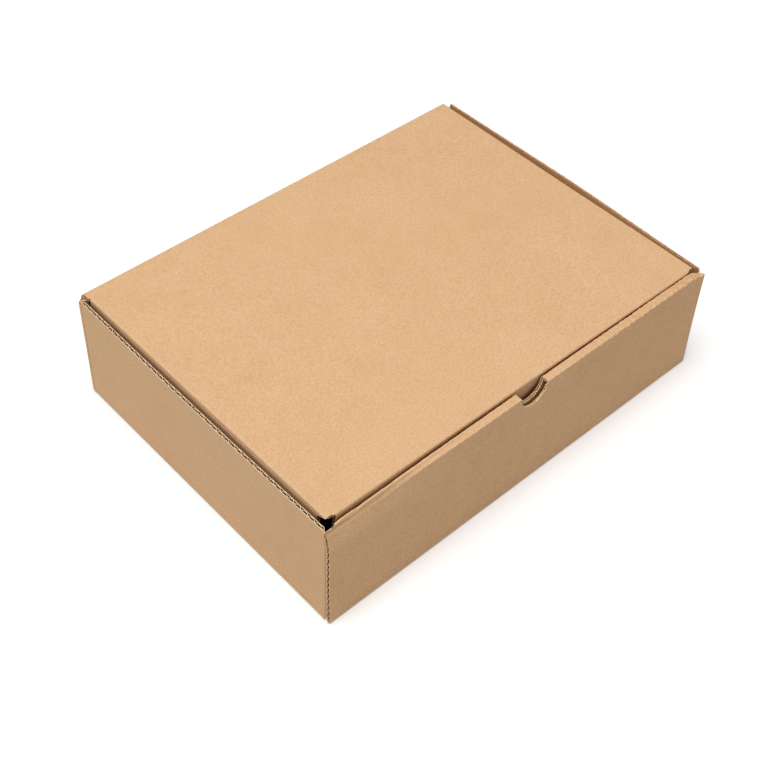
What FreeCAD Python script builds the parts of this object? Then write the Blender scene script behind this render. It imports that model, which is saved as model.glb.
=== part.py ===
import FreeCAD, Part
import math
import os

from FreeCAD import Vector

# A closed roll-front mailer box, folded from one die-cut sheet of corrugated board.
# Millimetres, +Z up. The origin is on the floor under the middle of the box, and the
# front wall, with the finger notch, faces -Y.

# The sheet: two flat liners with a wavy paper between them. Its flutes run along X in the
# flat sheet, so they stand upright in the side walls and lie level in the front and back.
board = 2.4              # thickness of the board
liner = 0.3              # thickness of a liner
wave_paper = 0.35        # thickness of the wavy paper
flute_pitch = 6.3        # from one flute to the next
flute_reach = 3.0        # how far the flutes are open behind a cut edge
crease_radius = 0.2      # inside radius of a fold
fold_radius = 1.8        # outside radius of a fold
layer_gap = 0.2          # air between layers of the tray that lie together

# The tray
box_width = 350.0        # outside, left to right
box_depth = 262.0        # outside, front to back
wall_height = 93.5       # floor to the cut top edge of a side wall
strip_drop = 1.0         # the front wall's roll-over strip lies this far below that edge
strip_end = 8.0          # the inner wall stops this far short of the outer wall's ends
flap_length = 75.0       # corner flaps, folded in from the side walls
flap_round = 12.0        # radius of their free corners

# The finger notch, half round in both front walls
notch_radius = 12.4
notch_drop = 1.5         # its centre lies this far below the strip

# The locking tabs under the inner wall
tab_width = 55.0
tab_spacing = 180.0      # centre to centre
slot_clearance = 0.4     # round a tab in its slot

# The lid
lid_lift = 0.5           # under side of the lid above the side walls
hinge_gap = 0.3          # between the lid's round rear edge and the back wall
ear_gap = 1.2            # between an ear and its side wall
ear_depth = 45.0         # top of the lid to an ear's lower edge
ear_front = 9.8          # front of the box to an ear's front edge
ear_rear_gap = 0.6       # between an ear and the rear corner flap
ear_round = 25.0         # radius of an ear's lower corners
hinge_inset = 0.6        # the lid's rear edge stops this far inside the ears' outer faces
tuck_depth = 36.0        # top of the lid to the tuck flap's lower edge
tuck_round = 15.0        # radius of its lower corners
tuck_end_gap = 2.0       # between the tuck flap's ends and the ears
tuck_overhang = 1.8      # the lid's front crease stands out over the inner wall
tuck_play = 0.7          # between the inner wall and the tuck flap
tuck_lean = 0.015        # spare slope, beyond what the flap's swing needs

# Places that several panels share
half_width = box_width / 2
front = -box_depth / 2
back = box_depth / 2
fold = board + crease_radius
front_height = wall_height - strip_drop
strip_width = 3 * board + 2 * layer_gap
inner_back = front + strip_width
flap_face = front + board + layer_gap
notch_height = front_height - notch_drop
lid_bottom = wall_height + lid_lift
lid_top = lid_bottom + board
hinge_y = back - board / 2
hinge_z = lid_bottom + board / 2
ear_face = half_width - board - ear_gap
ear_back = -flap_face - board - ear_rear_gap
tuck_half = ear_face - board - tuck_end_gap

AXES = {"YZ": Vector(1, 0, 0), "XZ": Vector(0, 1, 0), "XY": Vector(0, 0, 1)}


def place(plane, a, b, level):
    """A point of a section: a and b in the plane, level along the axis across it."""
    if plane == "YZ":
        return Vector(level, a, b)
    if plane == "XZ":
        return Vector(a, level, b)
    return Vector(a, b, level)


def rounding(before, corner, after, radius):
    """Start, middle and end of the arc that rounds one corner."""
    to_before = (before - corner).normalize()
    to_after = (after - corner).normalize()
    half_angle = to_before.getAngle(to_after) / 2
    inwards = (to_before + to_after).normalize()
    reach = radius / math.tan(half_angle)
    depth = radius / math.sin(half_angle) - radius
    return corner + to_before * reach, corner + inwards * depth, corner + to_after * reach


def outline_edges(points, radii):
    """Edges round a closed outline, each corner rounded by its own radius."""
    arcs = []
    for i, corner in enumerate(points):
        if radii[i] > 0:
            after = points[(i + 1) % len(points)]
            arcs.append(rounding(points[i - 1], corner, after, radii[i]))
        else:
            arcs.append((corner, None, corner))
    edges = []
    for i, (start, middle, end) in enumerate(arcs):
        if middle is not None:
            edges.append(Part.Arc(start, middle, end).toShape())
        following = arcs[(i + 1) % len(arcs)][0]
        if end.distanceToPoint(following) > 1e-6:
            edges.append(Part.LineSegment(end, following).toShape())
    return edges


def prism(corners, plane, low, high):
    """A solid with one outline, given as (a, b, radius), between two levels."""
    points = [place(plane, a, b, low) for a, b, radius in corners]
    radii = [radius for a, b, radius in corners]
    face = Part.Face(Part.Wire(outline_edges(points, radii)))
    return face.extrude(AXES[plane] * (high - low))


def inner_line(path):
    """The sheet's other face: the path moved to its right by the board's thickness."""
    inner = []
    for i, (a, b, radius) in enumerate(path):
        sides = []
        for start, end in ((i - 1, i), (i, i + 1)):
            if start >= 0 and end < len(path):
                run = math.hypot(path[end][0] - path[start][0], path[end][1] - path[start][1])
                across = (path[end][1] - path[start][1]) / run
                along = (path[start][0] - path[end][0]) / run
                sides.append((across, along))
        first, last = sides[0], sides[-1]
        share = board / (1 + first[0] * last[0] + first[1] * last[1])
        inside = crease_radius if radius > 0 else 0
        inner.append((a + share * (first[0] + last[0]), b + share * (first[1] + last[1]), inside))
    return inner


def folded(path, plane, low, high, end_radius=0):
    """One strip of board that follows a path of its outer face, as (a, b, radius)."""
    inner = inner_line(path)
    inner[-1] = (inner[-1][0], inner[-1][1], end_radius)
    outer = path[:-1] + [(path[-1][0], path[-1][1], end_radius)]
    return prism(outer + inner[::-1], plane, low, high)


def both_sides(left):
    """The left-hand piece and its mirror image on the right."""
    return [left, left.mirror(Vector(0, 0, 0), Vector(1, 0, 0))]


def one_solid(pieces):
    """The panels joined into one sheet."""
    return pieces[0].multiFuse(pieces[1:]).removeSplitter().Solids[0]


def bottom_panel():
    """The flat bottom between the four folds."""
    x = half_width - fold
    y = back - fold
    return Part.makeBox(2 * x, 2 * y, board, Vector(-x, -y, 0))


def back_wall():
    """The back wall, with its fold to the bottom."""
    path = [(back, lid_bottom - hinge_gap, 0), (back, 0, fold_radius), (back - fold, 0, 0)]
    return folded(path, "YZ", -half_width, half_width)


def front_roll():
    """Outer wall, strip and inner wall. The strip's ends slant in to the inner wall's ends."""
    path = [
        (front + fold, 0, 0),
        (front, 0, fold_radius),
        (front, front_height, fold_radius),
        (inner_back, front_height, fold_radius),
        (inner_back, board + layer_gap, 0),
    ]
    roll = folded(path, "YZ", -half_width, half_width)
    end = [
        (-half_width - board, front + board, 0),
        (-half_width, front + board, 0),
        (-half_width + strip_end, inner_back - board, 0),
        (-half_width + strip_end, inner_back + board, 0),
        (-half_width - board, inner_back + board, 0),
    ]
    return roll.cut(both_sides(prism(end, "XY", board + layer_gap, front_height + board)))


def side_wall():
    """The left side wall, with its fold to the bottom."""
    path = [(-half_width + fold, 0, 0), (-half_width, 0, fold_radius), (-half_width, wall_height, 0)]
    wall = folded(path, "XZ", flap_face, -flap_face)
    plan = [
        (-half_width, flap_face, fold_radius),
        (-half_width + 2 * fold, flap_face, 0),
        (-half_width + 2 * fold, -flap_face, 0),
        (-half_width, -flap_face, fold_radius),
    ]
    return wall.common(prism(plan, "XY", 0, wall_height))


def corner_flap(top):
    """The front left corner flap and its fold, with its free corners rounded."""
    path = [
        (-half_width + flap_length, flap_face, 0),
        (-half_width, flap_face, fold_radius),
        (-half_width, flap_face + 2 * fold, 0),
    ]
    bottom = board + layer_gap
    flap = folded(path, "XY", bottom, top)
    face = [
        (-half_width, bottom, 0),
        (-half_width + flap_length, bottom, flap_round),
        (-half_width + flap_length, top, flap_round),
        (-half_width, top, 0),
    ]
    return flap.common(prism(face, "XZ", flap_face, flap_face + 2 * fold))


def notch():
    """What the finger notch takes out of the front walls and the strip."""
    reach = strip_width + 2 * board
    round_part = Part.makeCylinder(
        notch_radius, reach, Vector(0, front - board, notch_height), Vector(0, 1, 0))
    open_top = Part.makeBox(
        2 * notch_radius, reach, notch_drop + board,
        Vector(-notch_radius, front - board, notch_height))
    return round_part.fuse(open_top)


def flutes(plane, across, start, end, low, high):
    """The open flutes in one cut edge, between the wavy paper and the liners.

    across is the board's lower face, and the wave runs from start to end."""
    near = across + liner
    far = across + board - liner
    half = flute_pitch / 2
    count = int((end - start) / half) - 1
    first = (start + end - count * half) / 2
    hollows = []
    for i in range(count):
        middle = first + (i + 0.5) * half
        base, tip = (near, far - wave_paper) if i % 2 else (far, near + wave_paper)
        corners = [
            (base, middle - half + wave_paper, 0),
            (base, middle + half - wave_paper, 0),
            (tip, middle, 0),
        ]
        hollows.append(prism(corners, plane, low, high))
    return hollows


def open_edges():
    """The open flutes along the side walls' tops and at the front and back walls' ends."""
    top = wall_height - flute_reach
    end = -half_width + flute_reach
    wall = flutes("XY", -half_width, flap_face + fold, -flap_face - fold, top, wall_height + board)
    ends = flutes("YZ", front, fold, front_height - fold, -half_width - board, end)
    ends += flutes("YZ", back - board, fold, lid_bottom - board, -half_width - board, end)
    return both_sides(Part.makeCompound(wall + ends))


def notch_flutes():
    """The flutes that the finger notch lays open, in the outer and the inner front wall."""
    reach = notch_radius + flute_reach
    bottom = notch_height - notch_radius + liner
    top = front_height - fold
    return (flutes("YZ", front, bottom, top, -reach, reach)
            + flutes("YZ", inner_back - board, bottom, top, -reach, reach))


def tab(x):
    """A locking tab, from the inner wall down through the bottom panel."""
    return Part.makeBox(
        tab_width, board, board + layer_gap, Vector(x - tab_width / 2, inner_back - board, 0))


def slot(x):
    """The slot that a tab stands in."""
    width = tab_width + 2 * slot_clearance
    depth = board + 2 * slot_clearance
    corner = Vector(x - width / 2, inner_back - board - slot_clearance, -board)
    return Part.makeBox(width, depth, 2 * board, corner)


def tray():
    """Bottom, walls and corner flaps, as one sheet."""
    places = (-tab_spacing / 2, tab_spacing / 2)
    bottom = bottom_panel().cut([slot(x) for x in places])
    front_flap = corner_flap(front_height - board - layer_gap)
    rear_flap = corner_flap(wall_height - board).mirror(Vector(0, 0, 0), Vector(0, 1, 0))
    walls = both_sides(side_wall()) + both_sides(front_flap) + both_sides(rear_flap)
    tabs = [tab(x) for x in places]
    sheet = one_solid([bottom, front_roll().cut(notch()), back_wall()] + walls + tabs)
    return sheet.cut(open_edges() + notch_flutes()).Solids[0]


def lid_panel():
    """The lid and its tuck flap. The lid's rear edge is round, and turns on the back wall."""
    reach = hinge_y - inner_back
    lip_height = front_height - fold_radius
    slope = tuck_depth / (2 * reach) + tuck_lean
    tip_height = lid_top - tuck_depth
    tip_y = inner_back + tuck_play + slope * (lip_height - tip_height)
    path = [
        (tip_y, tip_height, 0),
        (inner_back + tuck_play, lip_height, board),
        (inner_back - tuck_overhang, lid_top, fold_radius),
        (back, lid_top, 0),
    ]
    sheet = folded(path, "YZ", -tuck_half, tuck_half, board / 2)
    face = [
        (-tuck_half, lid_top, 0),
        (tuck_half, lid_top, 0),
        (tuck_half, tip_height, tuck_round),
        (-tuck_half, tip_height, tuck_round),
    ]
    return sheet.common(prism(face, "XZ", front, back))


def ear():
    """The left ear, its fold, and the lid's edge beside it."""
    path = [
        (-ear_face, lid_top - ear_depth, 0),
        (-ear_face, lid_top, fold_radius),
        (-tuck_half + board, lid_top, 0),
    ]
    low = front + ear_front
    sheet = folded(path, "XZ", low, ear_back)
    face = [
        (low, lid_top, 0),
        (low, lid_top - ear_depth, ear_round),
        (ear_back, lid_top - ear_depth, ear_round),
        (ear_back, lid_top, 0),
    ]
    return sheet.common(prism(face, "YZ", -half_width, 0))


def hinge_edge():
    """The lid's rear edge, which runs out past the ears. The back wall is wider."""
    path = [(ear_back, lid_top, 0), (back, lid_top, 0)]
    return folded(path, "YZ", -ear_face + hinge_inset, ear_face - hinge_inset, board / 2)


def lid():
    """Lid panel, tuck flap, ears and rear edge, as one sheet."""
    return one_solid([lid_panel(), hinge_edge()] + both_sides(ear()))


os.makedirs("parts", exist_ok=True)
for name, shape in (("tray", tray()), ("lid", lid())):
    shape.exportStep("parts/" + name + ".step")
    box = shape.BoundBox
    print(name, shape.ShapeType, shape.isValid(), "volume", round(shape.Volume))
    print("  from", [round(v, 2) for v in (box.XMin, box.YMin, box.ZMin)])
    print("  to", [round(v, 2) for v in (box.XMax, box.YMax, box.ZMax)])
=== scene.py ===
import math
from collections import namedtuple

import bpy
import numpy as np
from mathutils import Matrix, Vector, noise


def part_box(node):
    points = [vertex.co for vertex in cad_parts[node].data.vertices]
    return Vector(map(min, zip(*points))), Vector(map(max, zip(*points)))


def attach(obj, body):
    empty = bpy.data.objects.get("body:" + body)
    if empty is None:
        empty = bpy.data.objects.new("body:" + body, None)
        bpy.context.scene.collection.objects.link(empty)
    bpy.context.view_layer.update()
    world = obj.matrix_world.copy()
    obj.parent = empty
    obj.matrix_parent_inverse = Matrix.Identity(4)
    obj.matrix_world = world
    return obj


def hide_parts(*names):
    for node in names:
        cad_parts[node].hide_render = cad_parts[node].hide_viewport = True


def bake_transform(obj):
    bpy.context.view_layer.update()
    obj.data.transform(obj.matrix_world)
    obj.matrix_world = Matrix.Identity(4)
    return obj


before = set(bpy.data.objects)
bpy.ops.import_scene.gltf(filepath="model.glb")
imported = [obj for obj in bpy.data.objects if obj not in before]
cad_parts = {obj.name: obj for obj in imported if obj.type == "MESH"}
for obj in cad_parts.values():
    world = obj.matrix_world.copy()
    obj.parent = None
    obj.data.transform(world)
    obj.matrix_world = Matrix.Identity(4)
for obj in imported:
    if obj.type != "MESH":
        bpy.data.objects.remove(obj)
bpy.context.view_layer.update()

# Bottom panel
# The flat middle of the one sheet that the whole box is folded from, with two slots for the
# inner front wall's tabs. The sheet is single-wall B-flute board: two kraft liners, glued to
# a wavy paper between them.
MM = 0.001
tray_low, tray_high = (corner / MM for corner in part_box("tray"))
half_width = tray_high.x
front = tray_low.y
back = tray_high.y
board = 2.4
liner = 0.42             # a real liner is 0.3 mm; a little thicker shows in the picture
glue = 0.02
crushed = 1.18           # the board's thickness in a crease
crease_reach = 6.0       # the walls' sheets take over this far inside the outer faces
fold_radius = 1.8
slot_place = (62.1, 117.9)  # a slot's two sides, left and right of the middle
slot_back = front + 8.0
join_within = 0.002      # borders of two patches that lie this close are one
sharp_angle = 38         # degrees: a paper shows an edge where it turns by more

# One panel's outer face as a grid of points, the way it faces there, the board's thickness
# behind it, its crease marks, and which of its cells are board. None stands for all cells.
Patch = namedtuple("Patch", "points normals depth crease keep")


def ease(low, high, value):
    """0 below low, 1 above high, and a smooth rise between them."""
    share = np.clip((np.asarray(value, float) - low) / (high - low), 0, 1)
    return share * share * (3 - 2 * share)


def steps(start, end, size):
    """Even places from start to end, no more than size apart."""
    return np.linspace(start, end, max(2, math.ceil(abs(end - start) / size) + 1))


def drift(place, seed, size=1.0):
    """A smooth random value from about -1 to 1, which changes over that size in mm."""
    return noise.noise(Vector((place[0] / size, place[1] / size, place[2] / size + 17.3 * seed)))


def patch_cells(patch, points, first):
    """The patch's cells as corner numbers, counted from first, which face the way it faces."""
    rows, columns = patch.depth.shape
    grid = np.arange(rows * columns).reshape(rows, columns) + first
    corners = np.stack([grid[:-1, :-1], grid[1:, :-1], grid[1:, 1:], grid[:-1, 1:]], -1)
    one, other = points[1:, 1:] - points[:-1, :-1], points[:-1, 1:] - points[1:, :-1]
    if (np.cross(one, other) * patch.normals[:-1, :-1]).sum(-1).sum() <= 0:
        corners = corners[..., ::-1]
    return corners.reshape(-1, 4) if patch.keep is None else corners[patch.keep]


def closed_paper(patches, near, far):
    """Vertices, faces, edge flags and crease marks of one paper, between two depths in the board.

    Patches that share a border are joined there, and every free border gets a cut edge."""
    tops, bottoms, marks, quads = [], [], [], []
    count = 0
    for patch in patches:
        top = patch.points - patch.normals * near(patch.depth)[..., None]
        bottom = patch.points - patch.normals * far(patch.depth)[..., None]
        quads.append(patch_cells(patch, top, count))
        tops.append(top.reshape(-1, 3))
        bottoms.append(bottom.reshape(-1, 3))
        marks.append(patch.crease.reshape(-1))
        count += patch.depth.size
    tops, bottoms, marks = np.concatenate(tops), np.concatenate(bottoms), np.concatenate(marks)
    places = np.round(tops / join_within)
    _, first, joined = np.unique(places, axis=0, return_index=True, return_inverse=True)
    quads = joined.reshape(-1)[np.concatenate(quads)]
    used, quads = np.unique(quads, return_inverse=True)
    quads = quads.reshape(-1, 4)
    first = first[used]
    loops = []
    for quad in quads.tolist():
        loop = [v for i, v in enumerate(quad) if v != quad[i - 1]]
        if len(loop) > 2:
            loops.append(loop)
    borders = {(loop[i - 1], v) for loop in loops for i, v in enumerate(loop)}
    rims = [(b, a) for a, b in sorted(borders) if (b, a) not in borders]
    size = len(first)
    faces = loops + [[v + size for v in reversed(loop)] for loop in loops]
    faces += [[a, b, b + size, a + size] for a, b in rims]
    flags = [0] * (2 * len(loops)) + [1] * len(rims)
    vertices = np.concatenate([tops[first], bottoms[first]])
    return vertices, faces, flags, np.concatenate([marks[first], marks[first]])


def paper_object(name, papers, materials):
    """One piece made of closed papers. Their flags give the material: 0 face, 1 cut edge, 2 inside."""
    vertices, faces, flags, marks = [], [], [], []
    for points, loops, edge_flags, creases in papers:
        shift = sum(len(v) for v in vertices)
        vertices.append(points)
        faces += [[v + shift for v in loop] for loop in loops]
        flags += edge_flags
        marks.append(creases)
    mesh = bpy.data.meshes.new(name)
    mesh.from_pydata((np.concatenate(vertices) * MM).tolist(), [], faces)
    for material in materials:
        mesh.materials.append(material)
    mesh.polygons.foreach_set("material_index", flags)
    mesh.attributes.new("crease", "FLOAT", "POINT").data.foreach_set("value", np.concatenate(marks))
    mesh.shade_smooth()
    mesh.set_sharp_from_angle(angle=math.radians(sharp_angle))
    mesh.update()
    piece = bpy.data.objects.new(name, mesh)
    bpy.context.scene.collection.objects.link(piece)
    return piece


def liners(name, patches, edge, inner_patches=None, more=()):
    """The outer and the inner liner of one panel, and more papers like the outer one."""
    outer = [closed_paper(part, lambda depth: 0 * depth, lambda depth: 0 * depth + liner)
             for part in (patches, *more)]
    vertices, faces, flags, marks = closed_paper(
        inner_patches or patches, lambda depth: depth - liner, lambda depth: depth)
    inner = vertices, faces, [flag or 2 for flag in flags], marks
    # The inner liner's faces take the darker inside paper: painted shade.
    return paper_object(name, outer + [inner], [kraft, edge, shaded_inside_kraft])


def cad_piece(piece, body):
    """The piece moves with its body, and stands for that body's one CAD node."""
    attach(piece, body)
    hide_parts(body)


def linear(code):
    """A colour written as sRGB hex, in the linear values that a shader takes."""
    parts = [int(code[i:i + 2], 16) / 255 for i in (1, 3, 5)]
    return [c / 12.92 if c <= 0.04045 else ((c + 0.055) / 1.055) ** 2.4 for c in parts] + [1.0]


def add_node(tree, kind, links=(), **settings):
    """One node with its settings. An input gets a value, or a link from a socket or a node."""
    node = tree.nodes.new(kind)
    for name, value in settings.items():
        setattr(node, name, value)
    for socket, value in dict(links).items():
        if isinstance(value, bpy.types.Node):
            value = value.outputs[0]
        if isinstance(value, bpy.types.NodeSocket):
            tree.links.new(value, node.inputs[socket])
        else:
            node.inputs[socket].default_value = value
    return node


def new_material(name):
    """A material and its node tree, with no nodes yet."""
    material = bpy.data.materials.new(name)
    material.use_nodes = True
    material.node_tree.nodes.clear()
    return material, material.node_tree


def kraft_paper(name, light, dark, fibre, pale, dark_streak_colour="#8E6238"):
    """Kraft paper: unbleached pulp, calendered dull on the machine, so it is matt all over.

    The pulp clouds over 10 to 60 mm. Its fibres are finer than the picture can show, and are drawn 1 to 2 mm
    wide. The attribute crease rubs the face paler where it is above 0, and makes it darker, in streaks,
    where it is below 0."""
    material, tree = new_material(name)
    place = add_node(tree, "ShaderNodeTexCoord").outputs["Object"]
    crease = add_node(tree, "ShaderNodeAttribute", attribute_name="crease").outputs["Fac"]

    def pulp(size_mm, detail, rough, stretch):
        mapped = add_node(tree, "ShaderNodeMapping", {"Vector": place, "Scale": stretch})
        return add_node(tree, "ShaderNodeTexNoise", {
            "Vector": mapped, "Scale": 1 / (size_mm * MM), "Detail": detail, "Roughness": rough})

    # Each layer: its pattern, the values between which it sets in, its share of the colour at
    # those values, its colour, and what it is multiplied with.
    layers = (
        (pulp(60, 2, 0.55, (1, 1, 1)), (0.3, 0.7), (0.25, 0.75), light, 1.0),
        (pulp(11, 3, 0.6, (1, 1, 1)), (0.33, 0.67), (0, 0.55), light, 1.0),
        (pulp(1.9, 3, 0.55, (1, 1.4, 1.4)), (0.42, 0.72), (0, 0.46), fibre, 1.0),
        (pulp(0.8, 3, 0.55, (0.6, 1.4, 1.4)), (0.5, 0.72), (0, 0.6), pale, 1.0),
        (pulp(4, 3, 0.55, (1, 1, 1)), (0.3, 0.6), (0.2, 0.75), pale, crease),
        (pulp(7, 4, 0.55, (0.25, 1.5, 1.5)), (0.3, 0.7), (-1.0, -0.35), dark_streak_colour, crease))
    shade = linear(dark)
    for pattern, (low, high), (least, most), colour, times in layers:
        share = add_node(tree, "ShaderNodeMapRange", {0: pattern, 1: low, 2: high, 3: least, 4: most})
        share = add_node(tree, "ShaderNodeMath", {0: share, 1: times}, operation="MULTIPLY")
        shade = add_node(tree, "ShaderNodeMix", {
            0: share, 6: shade, 7: linear(colour)}, data_type="RGBA").outputs[2]
    bump = add_node(tree, "ShaderNodeBump", {
        "Strength": 0.12, "Distance": 0.05 * MM, "Height": pulp(0.8, 3, 0.55, (0.6, 1.3, 1.3))})
    shader = add_node(tree, "ShaderNodeBsdfPrincipled", {
        "Base Color": shade, "Roughness": 0.86, "Specular IOR Level": 0.18, "Normal": bump})
    add_node(tree, "ShaderNodeOutputMaterial", {"Surface": shader})
    return material


def cut_fibre(name, light, dark):
    """The die's cut through the papers: torn fibre ends, paler and rougher than the liner's face.

    The fibre ends are drawn in tufts of 1.5 mm, as coarse as they need to be to show."""
    material, tree = new_material(name)
    place = add_node(tree, "ShaderNodeTexCoord").outputs["Object"]
    torn = add_node(tree, "ShaderNodeTexNoise", {"Vector": place, "Scale": 1 / (1.5 * MM), "Detail": 3.0})
    share = add_node(tree, "ShaderNodeMapRange", {0: torn, 1: 0.38, 2: 0.62})
    shade = add_node(tree, "ShaderNodeMix", {
        0: share, 6: linear(dark), 7: linear(light)}, data_type="RGBA").outputs[2]
    bump = add_node(tree, "ShaderNodeBump", {"Strength": 0.4, "Distance": 0.1 * MM, "Height": torn})
    shader = add_node(tree, "ShaderNodeBsdfPrincipled", {
        "Base Color": shade, "Roughness": 0.95, "Specular IOR Level": 0.1, "Normal": bump})
    add_node(tree, "ShaderNodeOutputMaterial", {"Surface": shader})
    return material


# The outer liner is the lightest paper. The inner liner and the wavy paper are painted much darker than it:
# painted shade, so that the holes, the gaps and the notch read dark. A clean cut is pale, and a crushed one
# is nearer to the liner's colour.
kraft = kraft_paper("kraft_liner", "#E2B88C", "#D6AA7E", "#BE8F63", "#EDCDA6")
shaded_inside_kraft = kraft_paper("kraft_inside_painted_shade", "#CC9C6E", "#BE8E60", "#A4784C", "#D9AF82")
shaded_flute_kraft = kraft_paper("fluting_medium_painted_shade", "#97693F", "#84582F", "#744A24", "#A87A4C")
cut_edge = cut_fibre("die_cut_fibre", "#F3DFBE", "#DDBD92")
# The front wall's cut, the notch's too, is a paler, warmer copy of the clean cut: painted light, which makes
# up for the cool left lamp's tint on it.
painted_light_front_edge = cut_fibre("front_cut_fibre_painted_light", "#FFE6BE", "#EFC690")
crushed_edge = cut_fibre("crushed_edge", "#E4BE94", "#C4986C")

# The wavy paper is made by this one tree for every panel: it takes the panel's middle
# surface, waves it between the liners and gives it its thickness.
flute_pitch = 6.3        # B flute
flute_paper = 0.36       # a real one is 0.2 mm; a little thicker shows in the picture
wave_step = flute_pitch / 10
wave_sharp_angle = 50    # degrees: the wavy paper shows an edge where it turns by more


def flute_tree():
    """Waves a surface along its attribute "along" as far as its attribute "room" allows."""
    tree = bpy.data.node_groups.new("fluted_medium", "GeometryNodeTree")
    face = tree.interface
    face.new_socket("Geometry", in_out="INPUT", socket_type="NodeSocketGeometry")
    for name, kind, value in (("Pitch", "Float", flute_pitch * MM), ("Paper", "Float", flute_paper * MM),
                              ("Crest", "Float", 2.2), ("Unevenness", "Float", 0.12), ("Seed", "Int", 4)):
        face.new_socket(name, in_out="INPUT", socket_type="NodeSocket" + kind).default_value = value
    for name in ("Face Material", "Edge Material"):
        face.new_socket(name, in_out="INPUT", socket_type="NodeSocketMaterial")
    face.new_socket("Geometry", in_out="OUTPUT", socket_type="NodeSocketGeometry")
    given = add_node(tree, "NodeGroupInput").outputs
    along = add_node(tree, "GeometryNodeInputNamedAttribute", {"Name": "along"})
    room = add_node(tree, "GeometryNodeInputNamedAttribute", {"Name": "room"})
    wander = add_node(tree, "ShaderNodeTexNoise", {
        "W": given["Seed"], "Scale": 1 / (9 * MM), "Detail": 1.0}, noise_dimensions="4D")
    turn = add_node(tree, "ShaderNodeMath", {0: along, 1: given["Pitch"]}, operation="DIVIDE")
    astray = add_node(tree, "ShaderNodeMath", {0: wander, 1: 0.5}, operation="SUBTRACT")
    slip = add_node(tree, "ShaderNodeMath", {0: astray, 1: given["Unevenness"]}, operation="MULTIPLY")
    slipped = add_node(tree, "ShaderNodeMath", {0: turn, 1: slip}, operation="ADD")
    angle = add_node(tree, "ShaderNodeMath", {0: slipped, 1: math.tau}, operation="MULTIPLY")
    swing = add_node(tree, "ShaderNodeMath", {0: angle}, operation="SINE")
    raised = add_node(tree, "ShaderNodeMath", {0: swing, 1: 0.5, 2: 0.5}, operation="MULTIPLY_ADD")
    crest = add_node(tree, "ShaderNodeMath", {0: raised, 1: given["Crest"]}, operation="POWER")
    wave = add_node(tree, "ShaderNodeMath", {0: crest, 1: 2.0, 2: -1.0}, operation="MULTIPLY_ADD")
    height = add_node(tree, "ShaderNodeMath", {0: wave, 1: room}, operation="MULTIPLY")
    half_paper = add_node(tree, "ShaderNodeMath", {0: given["Paper"], 1: 2.0}, operation="DIVIDE")
    lift = add_node(tree, "ShaderNodeMath", {0: height, 1: half_paper}, operation="SUBTRACT")
    normal = add_node(tree, "GeometryNodeInputNormal")
    offset = add_node(tree, "ShaderNodeVectorMath", {0: normal, "Scale": lift}, operation="SCALE")
    waved = add_node(tree, "GeometryNodeSetPosition", {"Geometry": given["Geometry"], "Offset": offset})
    thick = add_node(tree, "GeometryNodeExtrudeMesh", {
        "Mesh": waved, "Offset Scale": given["Paper"], "Individual": False})
    marked = add_node(tree, "GeometryNodeStoreNamedAttribute", {
        "Geometry": thick, "Name": "cut", "Value": thick.outputs["Side"]},
        data_type="BOOLEAN", domain="FACE")
    under = add_node(tree, "GeometryNodeFlipFaces", {"Mesh": waved})
    both = add_node(tree, "GeometryNodeJoinGeometry")
    tree.links.new(marked.outputs[0], both.inputs[0])
    tree.links.new(under.outputs[0], both.inputs[0])
    closed = add_node(tree, "GeometryNodeMergeByDistance", {"Geometry": both, "Distance": 1e-6})
    real = add_node(tree, "GeometryNodeRealizeInstances", {"Geometry": closed})
    faced = add_node(tree, "GeometryNodeSetMaterial", {"Geometry": real, "Material": given["Face Material"]})
    cut = add_node(tree, "GeometryNodeInputNamedAttribute", {"Name": "cut"}, data_type="BOOLEAN")
    edged = add_node(tree, "GeometryNodeSetMaterial", {
        "Geometry": faced, "Selection": cut, "Material": given["Edge Material"]})
    add_node(tree, "NodeGroupOutput", {"Geometry": edged})
    return tree


fluting = flute_tree()


def flutes(name, patches, along, seed, edge):
    """The wavy paper of one panel. along gives, for each patch, the distance across its flutes."""
    vertices, faces, far_along, room = [], [], [], []
    count = 0
    for patch, run in zip(patches, along):
        middle = patch.points - patch.normals * (patch.depth / 2)[..., None]
        faces += patch_cells(patch, middle, count).tolist()
        count += patch.depth.size
        vertices.append(middle.reshape(-1, 3))
        far_along.append(np.broadcast_to(run, patch.depth.shape).reshape(-1))
        room.append(((patch.depth - 2 * liner - flute_paper) / 2 - glue).reshape(-1))
    mesh = bpy.data.meshes.new(name)
    mesh.from_pydata((np.concatenate(vertices) * MM).tolist(), [], faces)
    for key, values in (("along", far_along), ("room", room)):
        mesh.attributes.new(key, "FLOAT", "POINT").data.foreach_set("value", np.concatenate(values) * MM)
    piece = bpy.data.objects.new(name, mesh)
    bpy.context.scene.collection.objects.link(piece)
    modifier = piece.modifiers.new("flutes", "NODES")
    modifier.node_group = fluting
    sockets = {s.name: s.identifier for s in fluting.interface.items_tree if s.in_out == "INPUT"}
    modifier[sockets["Seed"]] = seed
    # The wavy paper's faces take the darker paper: painted shade.
    modifier[sockets["Face Material"]] = shaded_flute_kraft
    modifier[sockets["Edge Material"]] = edge
    solid = bpy.data.meshes.new_from_object(piece.evaluated_get(bpy.context.evaluated_depsgraph_get()))
    solid.name = name
    piece.modifiers.clear()
    piece.data = solid
    solid.shade_smooth()
    solid.set_sharp_from_angle(angle=math.radians(wave_sharp_angle))
    return piece


def bottom_patch(xs, ys):
    """The bottom panel's outer face, without the cells that are slots."""
    x, y = np.meshgrid(xs, ys, indexing="ij")
    points = np.stack([x, y, np.zeros_like(x)], -1)
    normals = np.zeros_like(points)
    normals[..., 2] = -1
    cell_x, cell_y = abs(xs[1:] + xs[:-1]) / 2, (ys[1:] + ys[:-1]) / 2
    across = (cell_x > slot_place[0]) & (cell_x < slot_place[1])
    keep = ~(across[:, None] & (cell_y[None, :] < slot_back))
    return Patch(points, normals, np.full_like(x, board), np.zeros_like(x), keep)


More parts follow.
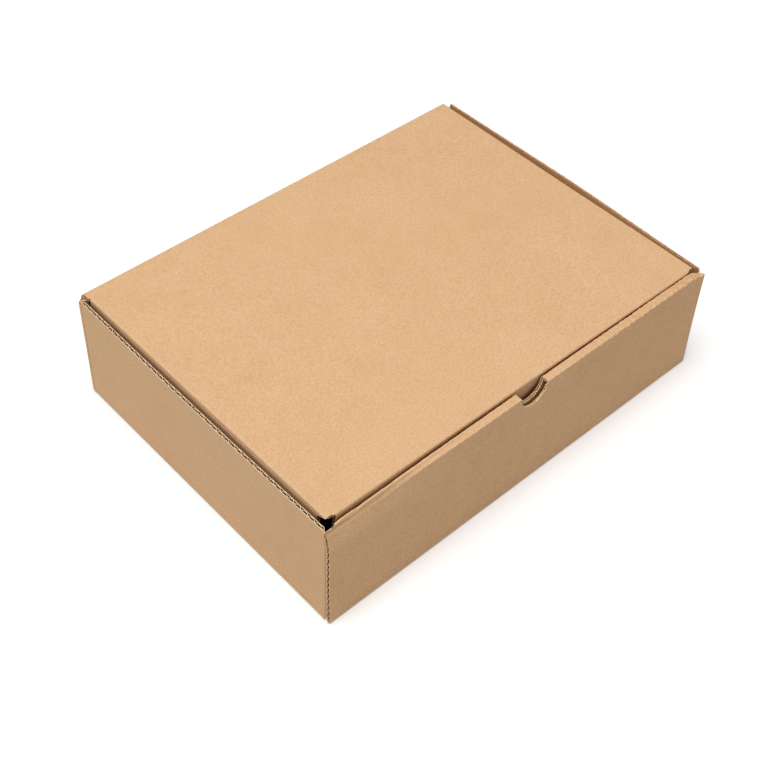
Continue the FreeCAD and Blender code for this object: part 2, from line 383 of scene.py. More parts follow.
bottom_x = half_width - crease_reach
bottom_y = back - crease_reach
slots_x = [sign * place for sign in (-1, 1) for place in slot_place]
liner_x = np.unique(np.concatenate([steps(-bottom_x, bottom_x, 12), slots_x]))
liner_y = np.unique(np.concatenate([steps(-bottom_y, bottom_y, 12), [slot_back]]))
wave_y = np.unique(np.concatenate([steps(-bottom_y, bottom_y, wave_step), [slot_back]]))
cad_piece(liners("bottom_liners", [bottom_patch(liner_x, liner_y)], cut_edge), "tray")
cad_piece(flutes("bottom_flutes", [bottom_patch(liner_x, wave_y)], [wave_y[None, :]], 1, cut_edge), "tray")

# Side walls
# Each side wall is a single board, folded up from the bottom panel, with its flutes upright,
# so its cut top edge shows them. Its two ends are folded in as corner flaps, along the
# inside of the front and the back wall.
wall_top = 93.5
flap_length = 75.0
flap_round = 12.0
flap_bottom = board + 0.2
flap_face = -front - board - 1.5
rear_face = back - board - 0.05
front_flap_top = {-1: 84.0, 1: 85.5}  # low enough for the strip that rolls over them
rear_flap_top = 91.1
left_sag = 4.2           # the left wall's top edge sags by this between its ends
right_rise = 1.0         # the right one's lies higher than plain at the rear
right_fall = 3.4         # and falls by this towards the front
edge_room = 0.3          # the wall's sheet stops this far inside its plain height
top_rag = 0.28           # the cut top edges are uneven by up to this
crease_flat = 0.8        # a crease is pressed flat this far to either side
crease_side = 3.2        # and somewhat this far
crease_rub = 0.15        # how pale it is rubbed
corner_points = 5        # a folded section's points round one corner
wall_bow = 0.15          # the walls belly out this far between their corners
corner_radius = 2.4      # the fold at the front corner, which leaves a groove beside the front wall
side_edge = {-1: cut_edge, 1: crushed_edge}
top_press = {-1: 0.08, 1: 0.4}  # the right wall's top edge is pressed nearly shut


def wall_rise(side, y):
    """How far the wall's top edge lies above its plain height."""
    if side < 0:
        return -left_sag * (1 - 0.35 * (y / back)**2) * ease(-4, 4, y - front)
    return right_rise - right_fall * ease(10, -130, y)


def corner_cut(radius, distance):
    """How far a rounded corner lies inside the square one, at that distance from its side."""
    past = np.clip(radius - distance, 0, None)
    return radius - np.sqrt(np.clip(radius**2 - past**2, 0, None))


def folded_section(corners, runs, turns=corner_points + 1):
    """Down a folded sheet's outer face: its points, its normals, and the way to the nearest crease.

    corners are (a, b, radius), and runs gives the places along each straight run, from 0 to 1."""
    ways, cuts = [], [0.0]
    for (a, b, _), (c, d, _) in zip(corners, corners[1:]):
        run = math.hypot(c - a, d - b)
        ways.append(((c - a) / run, (d - b) / run, run))
    for i in range(1, len(corners) - 1):
        turn = math.atan2(ways[i - 1][0] * ways[i][1] - ways[i - 1][1] * ways[i][0],
                          ways[i - 1][0] * ways[i][0] + ways[i - 1][1] * ways[i][1])
        cuts.append((turn, corners[i][2] * math.tan(abs(turn) / 2)))
    points, normals, far, creases, walked = [], [], [], [], 0.0
    for i, (a_way, b_way, run) in enumerate(ways):
        before = cuts[i][1] if i > 0 else 0.0
        after = cuts[i + 1][1] if i + 1 < len(ways) else 0.0
        a, b, _ = corners[i]
        for share in runs[i]:
            gone = before + (run - before - after) * share
            points.append((a + a_way * gone, b + b_way * gone))
            normals.append((-b_way, a_way))
            far.append(walked + gone - before)
        walked += run - before - after
        if i + 1 < len(ways):
            turn, radius = cuts[i + 1][0], corners[i + 1][2]
            sign = -1 if turn < 0 else 1
            end_a, end_b = points[-1]
            centre = (end_a + sign * radius * -b_way, end_b + sign * radius * a_way)
            for k in range(1, turns):
                swing = turn * k / turns
                out_a = -b_way * math.cos(swing) - a_way * math.sin(swing)
                out_b = a_way * math.cos(swing) - b_way * math.sin(swing)
                points.append((centre[0] - sign * radius * out_a, centre[1] - sign * radius * out_b))
                normals.append((out_a, out_b))
                far.append(walked + radius * abs(swing))
            if abs(turn) > 1:
                creases.append(walked + radius * abs(turn) / 2)
            walked += radius * abs(turn)
    far = np.array(far)
    nearest = np.min([abs(far - crease) for crease in creases], axis=0)
    return np.array(points), np.array(normals), far, nearest


def thickness(nearest):
    """The board's thickness, pressed thin in a crease."""
    return board - (board - crushed) * (1 - ease(crease_flat, crease_side, nearest))


def crease_mark(nearest):
    """How much the crease has rubbed the paper's face."""
    return crease_rub * (1 - ease(0.4, 2.0, nearest))


def near_ends(run, size, close=0.6, reach=3.6):
    """Places along a run, from 0 to 1: close together by its ends, where the creases are."""
    tight = steps(0, reach, close)
    return np.unique(np.concatenate([tight, steps(reach, run - reach, size), run - tight])) / run


def side_patches(side, size, layer, rear_radius=1.2):
    """Wall, corners and flaps of one side, from the front flap's free end to the rear one's."""
    flap_end = half_width - flap_length
    flap, wall = near_ends(flap_length, size), near_ends(flap_face + rear_face, size)
    corners = [(-flap_end, -flap_face, 0), (-half_width, -flap_face, corner_radius),
               (-half_width, rear_face, rear_radius), (-flap_end, rear_face, 0)]
    plan, plan_normals, far, nearest = folded_section(corners, [flap, wall, flap])
    wall_start, wall_end = far[len(flap) + corner_points], far[-len(flap) - corner_points - 1]
    flap_run = far[len(flap) - 1]
    rear_run = far[-1] - far[-len(flap)]
    from_front = ease(flap_run, wall_start, far)
    from_rear = ease(rear_run, far[-1] - wall_end, far[-1] - far)
    in_wall = np.where(plan[:, 1] < 0, from_front, from_rear)
    rounded = corner_cut(flap_round, np.minimum(far, far[-1] - far))
    rag = np.array([top_rag * drift((side * p[0], p[1], 9 * layer), 3, 4.0) for p in plan])
    rag = rag + wall_rise(side, plan[:, 1])
    flap_top = np.where(plan[:, 1] < 0, front_flap_top[side], rear_flap_top)
    top = flap_top - rounded + in_wall * (wall_top - edge_room + rag - flap_top)
    low = flap_bottom + rounded - in_wall * (flap_bottom - edge_room)
    knee = low + (crease_reach - low) * in_wall + (1 - in_wall) * (crease_reach - flap_bottom)
    # The rows lie closer together near the cut top edge.
    rows = np.concatenate([steps(0, 0.86, 0.12)[:-1], steps(0.86, 1, 0.035)])
    # The front flap is pressed thin between the front's two boards.
    depth = thickness(nearest)
    depth = np.where((plan[:, 1] < 0) & (far < flap_run + 1), crushed, depth)[:, None]
    mark = crease_mark(nearest)[:, None]

    def upright(low_edge, high_edge, shares, keep=None):
        """The standing board between two edges, with rows at those shares of its height."""
        height = low_edge[:, None] + (high_edge - low_edge)[:, None] * shares[None, :]
        flat = np.broadcast_to(plan[:, None, :], height.shape + (2,))
        points = np.concatenate([flat, height[..., None]], -1)
        normals = np.zeros_like(points)
        normals[..., :2] = plan_normals[:, None, :]
        pressed = 1 - top_press[side] * ease(wall_top - 4, wall_top - 1, height)
        return Patch(points, normals, depth * pressed, mark * np.ones_like(height), keep)

    walls = upright(knee, top, rows)
    wall_cells = np.array([wall_start - 0.01 < (a + b) / 2 < wall_end + 0.01 for a, b in zip(far, far[1:])])
    feet = upright(low, knee, np.linspace(0, 1, 5), np.repeat(~wall_cells[:, None], 4, 1))
    fold, fold_normals, _, fold_near = folded_section(
        [(-half_width, crease_reach, 0), (-half_width, 0, fold_radius), (-bottom_x, 0, 0)],
        [np.linspace(0, 1, 5), np.linspace(0, 1, 5)])
    ys = plan[:, 1][np.concatenate([[False], wall_cells]) | np.concatenate([wall_cells, [False]])]
    y, a = np.meshgrid(ys, fold[:, 0], indexing="ij")
    b = np.broadcast_to(fold[:, 1], y.shape)
    # The lower side of this fold faces out and down.
    outward = -np.broadcast_to(fold_normals[None], y.shape + (2,))
    normals = np.stack([outward[..., 0], 0 * y, outward[..., 1]], -1)
    inside = abs(ys) < bottom_y + 0.01
    keep = (inside[1:] & inside[:-1])[:, None] | (fold[1:, 0] <= -half_width + board + 0.3)[None, :]
    points = np.stack([a, y, b], -1)
    folds = Patch(points, normals, thickness(fold_near)[None, :] * np.ones_like(y),
                  crease_mark(fold_near)[None, :] * np.ones_like(y), keep)
    # The wall bellies out: its two corners lie further in than its middle and its foot.
    result = []
    for patch in (walls, feet, folds):
        points, normals = patch.points.copy(), patch.normals.copy()
        x, y, z = points[..., 0], points[..., 1], points[..., 2]
        held = 1 - (1 - (y / rear_face)**2) * ease(0, wall_top, z)
        on_wall = ease(0.5, 1, abs(normals[..., 0]))
        points[..., 0] = x + wall_bow * held * on_wall * ease(2, 30, z)
        points[..., 0] *= -side
        normals[..., 0] *= -side
        result.append(Patch(points, normals, patch.depth, patch.crease, patch.keep))
    across = (far - (far[0] + far[-1]) / 2)[:, None]
    return result, [across, across, ys[:, None]]


for side, label in ((-1, "left"), (1, "right")):
    outer, _ = side_patches(side, flute_pitch / 4, 0, 0.5)
    inner, _ = side_patches(side, flute_pitch / 4, 0)
    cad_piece(liners(label + "_wall_liners", outer, side_edge[side], inner), "tray")
    patches, across = side_patches(side, wave_step, 1)
    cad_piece(flutes(label + "_wall_flutes", patches, across, 2 + side, side_edge[side]), "tray")

# Back wall
# Folded up from the bottom panel's rear edge, with its flutes level. The lid hangs on
# the crease at its top.
hinge_left = 172.3
hinge_right = 170.8
hinge_low = 91.5         # the crease's own band takes over here
end_top = 88.0           # from here up, the wall's ends slope in to the crease
bottom_end = half_width - board - 0.2


def level_patch(section_at, xs, spans, bend=None, keep=None):
    """A sheet swept along X. spans gives, for each point of the section, the x it ends at."""
    columns = []
    for x in xs:
        columns.append(section_at(x))
    flat = np.stack([c[0] for c in columns])
    flat_normals = np.stack([c[1] for c in columns])
    nearest = np.stack([c[3] for c in columns])
    start, end = spans
    share = (xs - xs[0]) / (xs[-1] - xs[0])
    x = start[None, :] + (end - start)[None, :] * share[:, None]
    points = np.stack([x, flat[..., 0], flat[..., 1]], -1)
    normals = np.stack([0 * x, flat_normals[..., 0], flat_normals[..., 1]], -1)
    if bend is not None:
        points = bend(points)
    return Patch(points, normals, thickness(nearest), crease_mark(nearest), keep)


def back_section(size):
    """The back wall's section, from its top down to the bottom panel."""
    corners = [(back, hinge_low, 0), (back, 0, fold_radius), (back - crease_reach, 0, 0)]
    return folded_section(corners, [near_ends(hinge_low, size), near_ends(crease_reach, 1, 1, 2)])


def back_patches(size, step):
    """The back wall between its ends."""
    section = back_section(size)
    points = section[0]
    wall_end = half_width - liner - glue
    xs = steps(-half_width, half_width, step)
    end = wall_end + (hinge_left - wall_end) * ease(end_top, hinge_low, points[:, 1])
    end = np.where((points[:, 1] > 0.01) & (points[:, 0] > back - board), end, bottom_end)
    return [level_patch(lambda x: section, xs, (-end, end))], section[2]


def back_end(side):
    """The outer liner where it turns the corner, over one end of the back wall."""
    y, z = np.meshgrid([back - 0.1, back - board], steps(1.6, end_top, 12), indexing="ij")
    points = np.stack([np.full_like(y, side * half_width), y, z], -1)
    normals = np.zeros_like(points)
    normals[..., 0] = side
    return Patch(points, normals, np.full_like(y, board), np.zeros_like(y), None)


patches, _ = back_patches(6, 12)
turned = [[back_end(side)] for side in (-1, 1)]
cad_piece(liners("back_wall_liners", patches, crushed_edge, more=turned), "tray")
patches, far = back_patches(wave_step, 24)
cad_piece(flutes("back_wall_flutes", patches, [far[None, :]], 5, crushed_edge), "tray")

# Front wall
# Folded up from the bottom panel, over at the top as a narrow strip, and down again inside,
# so it is two boards with the corner flaps between them. A half-round finger notch is cut
# through all of it, and two tabs below the inner wall lock in the bottom panel's slots.
front_height = wall_top - 1.0
inner_back = front + 3 * board + 0.4
strip_end = 8.0
strip_rear = 1.1         # the strip ends this far in front of the inner wall's lower part
notch_middle = -1.2
notch_radius = 12.4
end_drop = 3.2           # the strip's right end is pushed down by this
notch_press = 0.2        # the die presses the board thinner by this share beside the notch
cut_lean = 0.3           # at the wall's ends each layer further in sticks out by this
notch_centre = front_height - 1.5
tab_place = (62.5, 117.5)
front_belly = 0.35       # the front wall's corners lie this far inside its middle
rear_ripple = 0.22       # the strip's rear edge is uneven by this, and more finely by that
fine_ripple = 0.12
sharp_radius = 0.45
inner_radius = 1.2       # the papers inside fold rounder than the outer one
soft_end = -62.0         # left of here the strip's front fold is broad and soft:
soft_radius = 3.6        # it is rounder by this,
soft_drop = 4.2          # it lies lower by this,
roll_back = 2.6          # and the wall leans back by this at its top
dent = 0.25              # the strip's face is a little uneven, and more so where it is soft
soft_dent = 0.9
tooth_depth = 2.7        # the fold hops from flute to flute by up to this
tooth_length = (4.5, 8.5)
tab_clearance = 0.2      # the inner wall ends this far above the bottom panel, but for its tabs
apart = 0.012            # other places that lie this near the notch's, as a share, are left out


def front_teeth():
    """Where the sharp part of the front fold hops, and how far."""
    place, hops = soft_end - 30, []
    draws = np.random.default_rng(11)
    while place < half_width + 20:
        gap = draws.uniform(*tooth_length)
        hops.append((place, place + gap, draws.uniform(0.5, 1.0)))
        place += gap
    return hops


teeth = front_teeth()


def tooth_room(x):
    """How far the front fold may hop at x."""
    return tooth_depth * float(0.35 * ease(soft_end - 25, soft_end + 10, x) + 0.65 * ease(30, 90, x))


def fold_drop(x):
    """The front fold's height below the strip at x: small slopes that end in a step."""
    for start, end, depth in teeth:
        if start <= x < end:
            share = (x - start) / (end - start)
            rise = share**1.3 if share < 0.9 else 0.87 * (1 - share) / 0.1
            return depth * rise * tooth_room(x)
    return 0.0


def softness(x):
    """1 where the strip's front fold is soft, 0 where it is sharp."""
    return 1 - ease(-half_width + 20, soft_end + 8, x)


def front_section(x, size, sharp):
    """The front wall's section at x, from the bottom panel to the inner wall's lower edge.

    A sharp section has the outer paper's hops and ripples, which the papers inside don't take."""
    soft = float(softness(x))
    radius = (sharp_radius if sharp else inner_radius) + soft_radius * soft
    drop = soft_drop * soft + (fold_drop(x) if sharp else 0.8 * tooth_room(x))
    ripple = rear_ripple * drift((x, 0, 0), 5, 9.0) + fine_ripple * drift((x, 0, 0), 6, 3.5)
    rear = inner_back - strip_rear - (ripple if sharp else 0.0)
    outer_run = front_height - fold_radius - 1.0
    notch_turn = np.linspace(0, math.pi / 2, 12)
    notch = (notch_centre - notch_radius * np.cos(notch_turn) - fold_radius) / outer_run
    low = near_ends(outer_run, size)
    low = low[(low < notch[0] - apart)]
    outer = np.unique(np.concatenate([low, notch, 1 - steps(0, 2.4, 0.6) / outer_run]))
    inner_run = front_height - fold_radius - board - tab_clearance
    inner_top = front_height - fold_radius - notch_centre
    inner_notch = (inner_top + notch_radius * np.cos(notch_turn[::-1])) / inner_run
    inner_low = near_ends(inner_run, size)
    inner_low = inner_low[inner_low > inner_notch[-1] + apart]
    inner = np.unique(np.concatenate([[0.0], inner_notch, inner_low]))
    total = inner_run + board + tab_clearance
    inner = np.append(inner * inner_run / total, 1.0)
    corners = [(front + crease_reach, 0, 0), (front, 0, fold_radius),
               (front, front_height - drop, radius), (rear, front_height, fold_radius),
               (inner_back, 0.08, 0)]
    runs = [near_ends(crease_reach, 1, 1, 2), outer, np.linspace(0, 1, 7), inner]
    return folded_section(corners, runs)


def front_spans(size):
    """Where each point of the section ends, at the box's corners and at the notch."""
    ends = []
    for x in (-half_width, half_width):
        points = front_section(x, size, False)[0]
        y, z = points[:, 0], points[:, 1]
        slant = half_width - strip_end * ease(front + 2.2, front + 5.4, y)
        reach = np.where(z > front_height / 2, slant, half_width)
        reach = np.where((z < 0.01) & (y > front + board), bottom_end, reach)
        reach = np.where((y > inner_back - board) & (z > 0.01), half_width - strip_end, reach)
        reach[-1] = reach[-2]
        ends.append(reach)
    points = front_section(0, size, False)[0]
    below = np.clip(notch_centre - points[:, 1], 0, None)
    width = np.sqrt(np.clip(notch_radius**2 - below**2, 0, None))
    inner_wall = points[:, 0] > inner_back - strip_rear - 0.5
    outer_wall = points[:, 0] < front + 0.1
    width = np.where(inner_wall | outer_wall | (below <= 0), width, 0)
    return ends, width


def front_bend(points):
    """The wall bellies a little between its corners, leans back where its top fold is soft, and
    is pushed down at its right end. The strip's face has dents."""
    points = points.copy()
    x, y, z = points[..., 0], points[..., 1], points[..., 2]
    belly = front_belly * (x / half_width)**2 * ease(4, 40, z) * ease(0, 60, 70 - abs(z - 45))
    rolled = roll_back * softness(x) * ease(72, 90, z)
    points[..., 1] = y + belly * (y < front + 2) + rolled * (1 - ease(front, inner_back - 2.5, y))
    points[..., 2] = z - end_drop * ease(half_width - 14, half_width, x) * ease(84, 91, z)
    on_strip = (z > front_height - 7) & (y < inner_back - strip_rear - 1.5) & (y > front + 1.5)
    for row, column in zip(*np.nonzero(on_strip)):
        a, b = x[row, column], y[row, column]
        size = dent + (soft_dent - dent) * (1 - float(ease(-half_width + 40, soft_end + 20, a)))
        points[row, column, 2] += size * (drift((a, 2 * b, 0), 9, 8.0) - 0.5)
    return points


# The columns that reach a tab's sides: the inner wall is narrower than the outer one.
tab_columns = [place * half_width / (half_width - strip_end) for place in tab_place]


def front_patches(size, step, sharp, layer):
    """Left and right half of the front wall, which meet below the notch."""
    (left_end, right_end), width = front_spans(size)
    left_end, right_end = left_end - (2 - layer) * cut_lean, right_end - (2 - layer) * cut_lean
    halves = []
    for side, reach in ((-1, left_end), (1, right_end)):
        tabs = [side * place for place in tab_columns]
        xs = np.unique(np.concatenate([steps(side * half_width, 0, step), tabs]))
        start, end = (-reach, notch_middle - width) if side < 0 else (notch_middle + width, reach)
        middle = abs(xs[1:] + xs[:-1]) / 2
        keep = np.ones((len(xs) - 1, len(reach) - 1), bool)
        keep[:, -1] = (middle > tab_columns[0]) & (middle < tab_columns[1])
        half = level_patch(lambda x: front_section(x, size, sharp), xs, (start, end), front_bend, keep)
        x, y, z = half.points[..., 0], half.points[..., 1], half.points[..., 2]
        below = np.clip(notch_centre - z, 0, None)
        from_notch = np.hypot(x - notch_middle, below) - notch_radius
        depth = half.depth * (1 - notch_press * (1 - ease(0.5, 9, from_notch)))
        # The strip's rear crest is rubbed pale, and its face is darker, in streaks, where it is soft.
        behind = y - inner_back + strip_rear
        crest = (1 - ease(0.4, 1.0, abs(behind + 0.8))) * (z > front_height - 2.2)
        soft = 1 - ease(soft_end - 60, soft_end + 30, x)
        strip = ease(front + 2.6, front + 4.0, y) * (1 - ease(-1.2, -0.3, behind)) * (z > 80)
        mark = half.crease * (1 - soft) - 0.75 * soft * strip * (1 - crest)
        mark = np.where(crest > 0, (0.2 + 0.75 * soft) * crest, mark)
        halves.append(half._replace(depth=depth, crease=mark))
    return halves


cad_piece(liners("front_wall_liners", front_patches(6, 0.85, True, 0), painted_light_front_edge,
                front_patches(6, 6, False, 2)), "tray")
far = front_section(0, wave_step, False)[2]
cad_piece(flutes("front_wall_flutes", front_patches(wave_step, 12, False, 1),
                [far[None, :], far[None, :]], 7, painted_light_front_edge), "tray")

# Lid
# The lid hangs on the back wall's top crease. A tuck flap is folded down along its front and
# goes in behind the inner front wall, and two ears are folded down along its sides, inside
# the side walls. Its corners are cut back where flap and ears meet.
lid_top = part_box("lid")[1].z / MM
lid_edge = inner_back - 0.85
tuck_half = 166.9
tuck_low_half = 164.2    # the flap is narrower than the crease that it hangs on
tuck_tip = (-118.9, 60.4)
tuck_bend = (inner_back + 0.5, 90.2)
tuck_round = 15.0
tuck_run = 30.4          # the flap's flat part, from its lower edge up
ear_face = 171.4
ear_front = front + 8.4
ear_back = 123.5
ear_bottom = lid_top - 45.0
ear_round = 25.0
ear_set_back = 8.5       # below its crease the ear's front end lies this much further back
panel_side = ear_face - crease_reach
hinge_start = back - 4.5  # the crease's own band takes over here
lid_radius = 1.3
lid_left = 170.1
lid_right = 168.3
lid_flare = 0.6          # the lid's right side is this much wider at the front
lid_sag = 0.35           # its middle lies lower by this
front_bulge = 0.75       # and the middle of its front edge higher by this
lid_skew = (0.65, -0.65)  # the front edge's left end lies further back than its right end
lid_droop = {"front_left": 1.5, "front_right": 3.0, "rear_left": 2.3, "rear_right": 0.0}


def lid_across(x, y):
    """The lid is narrower than the space between the walls, and more so on the right."""
    return x * np.where(x < 0, lid_left, lid_right + lid_flare * ease(20, -120, y)) / ear_face


def droop(x, y):
    """How far the lid's top lies below its highest corner."""
    right = (x + half_width) / (2 * half_width)
    rear = (y - front) / (back - front)
    low = lid_droop["front_left"] * (1 - right) + lid_droop["front_right"] * right
    high = lid_droop["rear_left"] * (1 - right) + lid_droop["rear_right"] * right
    across = np.sin(np.pi * np.clip(right, 0, 1))
    sag = lid_sag * across * np.sin(np.pi * np.clip(rear, 0, 1)) - front_bulge * across * (1 - rear)
    return low * (1 - rear) + high * rear + sag


def lid_bend(points):
    """The lid twists a little and sits a little off the middle, with its flap and ears."""
    points = points.copy()
    x, y, z = points[..., 0], points[..., 1], points[..., 2]
    right = (x + half_width) / (2 * half_width)
    points[..., 2] = z - droop(x, y) * ease(84, 95, z)
    skew = lid_skew[0] * (1 - right) + lid_skew[1] * right
    points[..., 1] = y + skew * (1 - ease(-124, -100, y)) * ease(88, 93, z)
    points[..., 0] = lid_across(x, y)
    return points


def lid_section(size):
    """The lid's section, from the tuck flap's lower edge to the hinge crease."""
    corners = [tuck_tip + (0,), tuck_bend + (board,), (lid_edge, lid_top, lid_radius),
               (hinge_start, lid_top, 0)]
    rounding = tuck_round * (1 - np.cos(np.linspace(0, math.pi / 2, 8))) / tuck_run
    above = np.linspace(rounding[-1], 1, max(3, int(tuck_round / size) + 2))
    top_run = hinge_start - lid_edge - lid_radius
    ear_ends = [(place - lid_edge - lid_radius) / top_run for place in (ear_front, ear_back)]
    runs = [np.unique(np.concatenate([rounding, above])), np.linspace(0, 1, 8),
            np.unique(np.concatenate([near_ends(top_run, size), ear_ends]))]
    return folded_section(corners, runs)


def lid_patches(size, step):
    """Tuck flap, front crease and lid panel, and the rear edge, between the ears."""
    section = lid_section(size)
    y, z = section[0][:, 0], section[0][:, 1]
    end = tuck_half - corner_cut(tuck_round, z - tuck_tip[1])
    corner = np.clip((y - lid_edge) / lid_radius, 0, 1) * (z > lid_top - lid_radius - 0.01)
    end = end - (tuck_half - tuck_low_half) * (1 - corner)
    xs = steps(-panel_side, panel_side, step)
    inner_end = end - (tuck_half - panel_side)
    on_top = (z > lid_top - 0.01)
    split_front = int(np.argmin(abs(y - ear_front) + 100 * ~on_top))
    split_rear = int(np.argmin(abs(y - ear_back) + 100 * ~on_top))
    middle = level_patch(lambda x: section, xs, (-inner_end, inner_end), bend=lid_bend)
    patches, along = [middle], [section[2][None, :]]
    for side in (-1, 1):
        rear_reach = np.full_like(y, hinge_left if side < 0 else hinge_right)
        for low, high, reach in ((0, split_front, end), (split_rear, len(y) - 1, rear_reach)):
            rows = slice(low, high + 1)
            part = tuple(value[rows] for value in section)
            start, stop = inner_end[rows], reach[rows]
            cells = np.linspace(0, 1, 3)
            spans = (start, stop) if side > 0 else (-stop, -start)
            patches.append(level_patch(lambda x, part=part: part, cells, spans, bend=lid_bend))
            along.append(part[2][None, :])
    return patches, along


def ear_patch(side, size):
    """One ear with its crease, from the lid panel down."""
    corners = [(-panel_side, lid_top, 0), (-ear_face, lid_top, lid_radius), (-ear_face, ear_bottom, 0)]
    runs = [near_ends(crease_reach, 1, 1, 2), near_ends(lid_top - ear_bottom, 6)]
    section, normals, _, nearest = folded_section([(a, -b, r) for a, b, r in corners], runs)
    section, normals = section * (1, -1), normals * (1, -1)
    close = steps(0, ear_round, 1.2)
    ys = np.unique(np.concatenate([steps(ear_front, ear_back, size), ear_front + close, ear_back - close]))
    lift = corner_cut(ear_round, np.minimum(ys - ear_front, ear_back - ys))
    y, a = np.meshgrid(ys, section[:, 0], indexing="ij")
    b = np.broadcast_to(section[:, 1], y.shape)
    share = np.clip((lid_top - lid_radius - b) / (lid_top - lid_radius - ear_bottom), 0, 1)
    b = b + lift[:, None] * share
    y = y + ear_set_back * ease(lid_top - 0.4, lid_top - 5, b) * (1 - ease(0, 30, y - ear_front))
    points = lid_bend(np.stack([a, y, b], -1) * (-side, 1, 1))
    outward, upward = (np.broadcast_to(normals[:, i], y.shape) for i in (0, 1))
    faced = np.stack([outward, 0 * y, upward], -1) * (-side, 1, 1)
    depth = np.broadcast_to(thickness(nearest), y.shape)
    return Patch(points, faced, depth, np.broadcast_to(crease_mark(nearest), y.shape), None), ys


patches, _ = lid_patches(6, 10)
patches += [ear_patch(side, 3.0)[0] for side in (-1, 1)]
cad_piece(liners("lid_liners", patches, crushed_edge), "lid")
patches, along = lid_patches(wave_step, 30)
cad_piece(flutes("lid_flutes", patches, along, 8, crushed_edge), "lid")
for side, label in ((-1, "left"), (1, "right")):
    patch, ys = ear_patch(side, wave_step)
    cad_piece(flutes(label + "_ear_flutes", [patch], [ys[:, None]], 9 + side, crushed_edge), "lid")

# Hinge crease
# The crease between back wall and lid, where the board is pressed thin. It is the same sheet as both.
hinge_radius = 2.2


def hinge_patch():
    """The crease's band, from the back wall's top over to the lid's rear edge."""
    corners = [(back, hinge_low, 0), (back, lid_top, hinge_radius), (hinge_start, lid_top, 0)]
    runs = [np.linspace(0, 1, 5), np.linspace(0, 1, 5)]
    xs = steps(-hinge_left, hinge_right, 6)
    section, normals, far, nearest = folded_section([(-y, z, r) for y, z, r in corners], runs, 8)
    section, normals = section * (-1, 1), normals * (-1, 1)
    start, end = np.full(len(section), -hinge_left), np.full(len(section), hinge_right)

    def bend(points):
        """The band meets the lid's rear edge, which is narrower than the back wall and lies lower."""
        points = points.copy()
        x, z = points[..., 0], points[..., 2]
        up = ease(hinge_low, lid_top, z)
        points[..., 2] = z - droop(x, 0 * x + back) * up
        points[..., 0] = x + (lid_across(x, 0 * x + back) - x) * up
        return points

    return level_patch(lambda x: (section, normals, far, nearest), xs, (start, end), bend=bend)


hinge = liners("hinge_crease", [hinge_patch()], crushed_edge)
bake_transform(hinge)

# Floor
# A pale sweep of paper under the box. For the camera it is nearly white, and white further
# off, and still takes the box's shadow; the light that it throws back onto the box is weaker.
near_glow = 0.23
glow_start = 0.7         # metres from the box's middle
glow_full = 2.2
floor_reach = 6.0        # metres
floor_gap = 0.0002       # the floor lies this far under the box
floor_material, tree = new_material("pale_paper_sweep")
seen = add_node(tree, "ShaderNodeLightPath").outputs["Is Camera Ray"]
tone = add_node(tree, "ShaderNodeMix", {
    0: seen, 6: linear("#DADADA"), 7: linear("#EDEDED")}, data_type="RGBA").outputs[2]
spot = add_node(tree, "ShaderNodeTexCoord").outputs["Object"]
from_box = add_node(tree, "ShaderNodeVectorMath", {0: spot}, operation="LENGTH").outputs["Value"]
far_glow = add_node(tree, "ShaderNodeMapRange", {
    0: from_box, 1: glow_start, 2: glow_full, 3: near_glow, 4: 1.0})
glow = add_node(tree, "ShaderNodeMath", {0: seen, 1: far_glow}, operation="MULTIPLY")
paper = add_node(tree, "ShaderNodeBsdfPrincipled", {
    "Base Color": tone, "Roughness": 0.9, "Specular IOR Level": 0.0,
    "Emission Color": (1, 1, 1, 1), "Emission Strength": glow})
add_node(tree, "ShaderNodeOutputMaterial", {"Surface": paper})
floor_mesh = bpy.data.meshes.new("floor")
floor_corners = [(x * floor_reach, y * floor_reach, 0) for x, y in ((-1, -1), (1, -1), (1, 1), (-1, 1))]
floor_mesh.from_pydata(floor_corners, [], [(0, 1, 2, 3)])
floor_mesh.materials.append(floor_material)
floor = bpy.data.objects.new("floor", floor_mesh)
floor.location.z = -floor_gap
bpy.context.scene.collection.objects.link(floor)

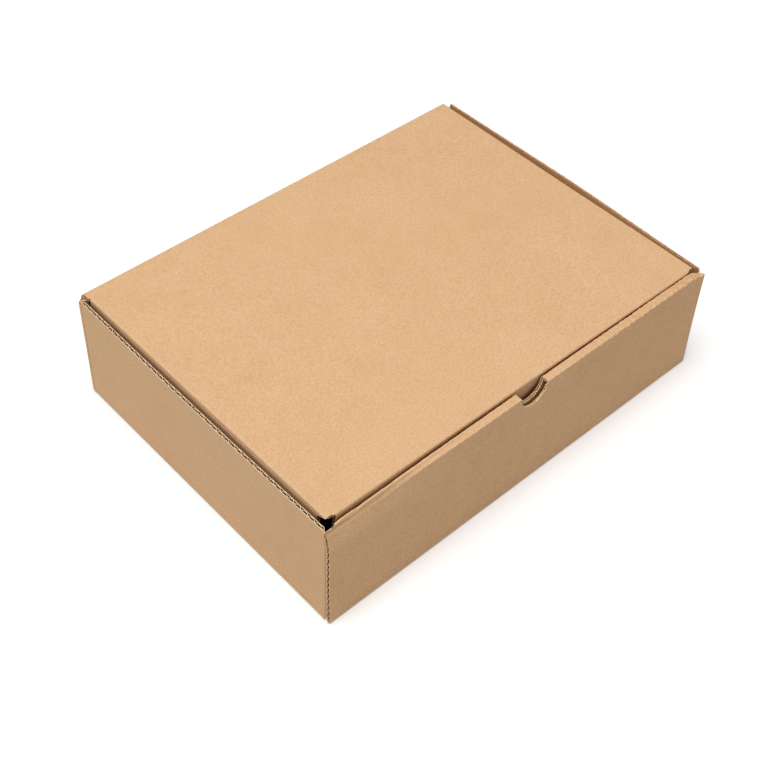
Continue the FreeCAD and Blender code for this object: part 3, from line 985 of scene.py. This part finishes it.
# Light
# A pale room, a broad soft light overhead, a little to the left, and a weaker, cooler one
# low at the left, behind the box's middle.
world = bpy.data.worlds.new("studio")
world.use_nodes = True
world.node_tree.nodes.clear()
room_light = add_node(world.node_tree, "ShaderNodeBackground", {"Color": (1, 1, 1, 1), "Strength": 0.38})
white = add_node(world.node_tree, "ShaderNodeBackground", {"Color": (1, 1, 1, 1), "Strength": 1.0})
seen = add_node(world.node_tree, "ShaderNodeLightPath").outputs["Is Camera Ray"]
sky = add_node(world.node_tree, "ShaderNodeMixShader", {0: seen, 1: room_light, 2: white})
add_node(world.node_tree, "ShaderNodeOutputWorld", {"Surface": sky})
bpy.context.scene.world = world


def soft_lamp(name, place, size, power, colour=(1, 1, 1)):
    """A square lamp of that size in metres, aimed at the box."""
    lamp = bpy.data.lights.new(name, "AREA")
    lamp.size = size
    lamp.energy = power
    lamp.color = colour
    holder = bpy.data.objects.new(name, lamp)
    holder.location = place
    holder.rotation_euler = (-Vector(place)).to_track_quat("-Z", "Y").to_euler()
    bpy.context.scene.collection.objects.link(holder)


soft_lamp("overhead_light", (-0.5, -0.2, 2.9), 1.4, 58)
soft_lamp("left_light", (-2.6, 0.7, 0.7), 1.0, 10, (0.78, 0.9, 1.0))

# Camera
# The photograph's view: from above the near left corner, a little turned and cropped.
azimuth, elevation, roll = -44.13, 43.54, 2.50  # degrees
distance = 3.06          # in box widths, as is the place that the camera looks at
aim = (0.652, 0.548)     # from the near left corner, along the front and back
focal_px, frame_px = 1372, 768
principal = (392, 300)   # the lens axis in the picture, in pixels from its top left corner
sensor_mm = 36.0
width = 2 * half_width * MM
scene = bpy.context.scene
camera_data = bpy.data.cameras.new("camera")
camera = bpy.data.objects.new("camera", camera_data)
scene.collection.objects.link(camera)
scene.camera = camera
camera_data.sensor_width = sensor_mm
camera_data.lens = sensor_mm * focal_px / frame_px
camera_data.shift_x = (frame_px / 2 - principal[0]) / frame_px
camera_data.shift_y = (principal[1] - frame_px / 2) / frame_px
a, e, r = (math.radians(v) for v in (azimuth, elevation, roll))
backward = Vector((math.sin(a) * math.cos(e), -math.cos(a) * math.cos(e), math.sin(e)))
right = (-backward).cross(Vector((0, 0, 1))).normalized()
above = right.cross(-backward)
turned_right = math.cos(r) * right + math.sin(r) * above
turned_up = -math.sin(r) * right + math.cos(r) * above
origin = Vector((-half_width * MM, front * MM, 0))
place = origin + Vector((aim[0] * width, aim[1] * width, 0)) + backward * distance * width
camera.matrix_world = Matrix.Translation(place) @ Matrix(
    [[turned_right[i], turned_up[i], backward[i]] for i in range(3)]).to_4x4()

scene.view_settings.view_transform = "Standard"
